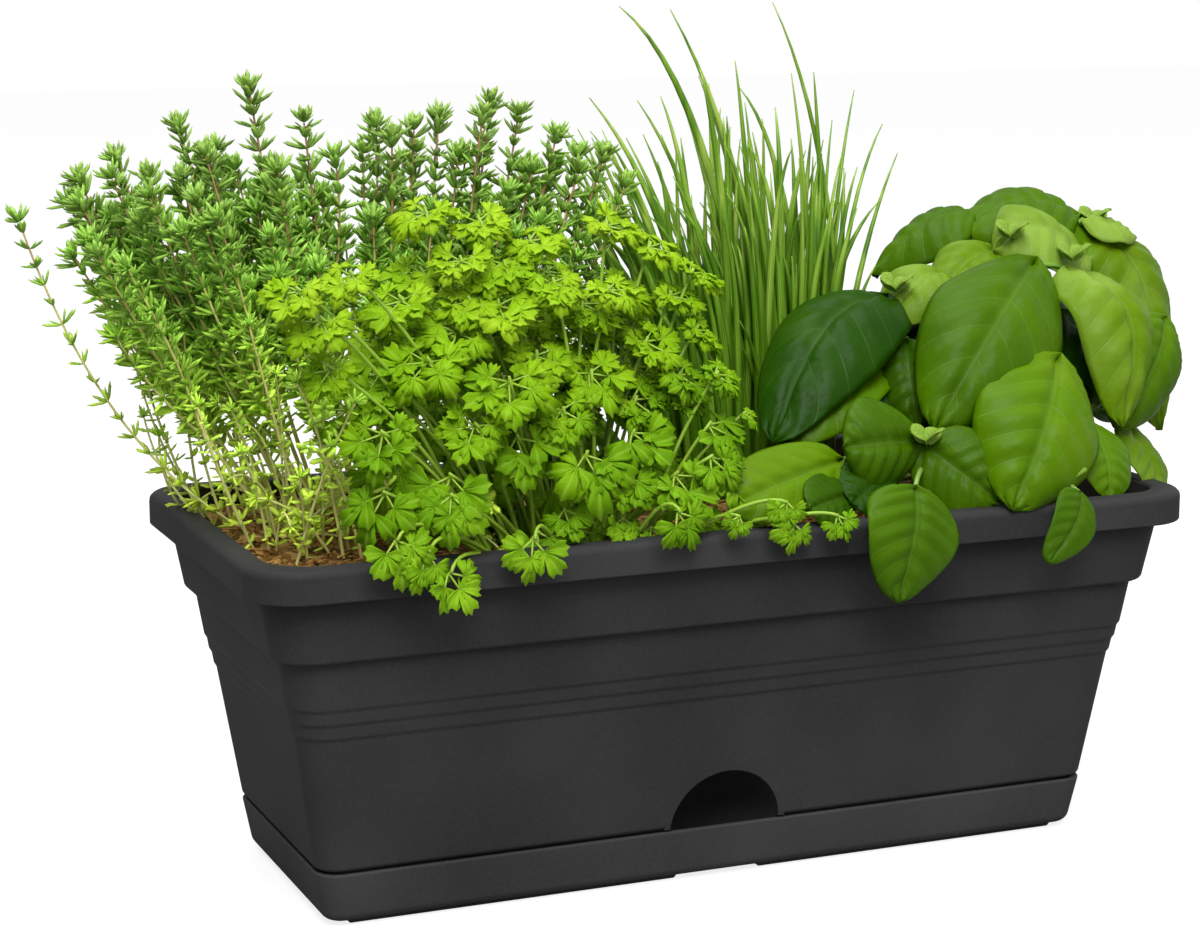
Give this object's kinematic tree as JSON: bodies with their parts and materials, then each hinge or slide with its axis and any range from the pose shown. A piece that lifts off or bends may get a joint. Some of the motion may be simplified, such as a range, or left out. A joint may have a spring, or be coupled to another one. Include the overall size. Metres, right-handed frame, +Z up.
{
  "type": "balcony planter",
  "caption": "Tapered plastic trough with a rolled rim and a watering mouth, standing in a low saucer, filled with soil and planted with kitchen herbs.",
  "frame": {"origin": "middle of the planter's base, on the ground", "axes": "+X along the length to the right seen from the front, +Y from the front with the watering mouth to the back, +Z up"},
  "size_m": [0.3761, 0.1584, 0.2581],
  "materials": {
    "saucer_plastic": "fine-grained matte charcoal",
    "trough_plastic": "fine-grained matte charcoal",
    "soil": "moist crumbly potting mix",
    "thyme": "living leaves and stems",
    "parsley": "living leaves and stems",
    "chives": "living leaves",
    "basil": "living leaves and stems, glossy"
  },
  "bodies": {
    "saucer": {"saucer": "saucer_plastic"},
    "trough": {"trough": "trough_plastic", "potting_soil": "soil", "thyme": "thyme", "parsley": "parsley", "chives": "chives", "basil": "basil"}
  },
  "joints": [
    {"name": "trough_lift", "type": "slide", "parent": "saucer", "child": "trough", "axis": [0, 0, 1], "range_m": [0, 0.03]}
  ]
}
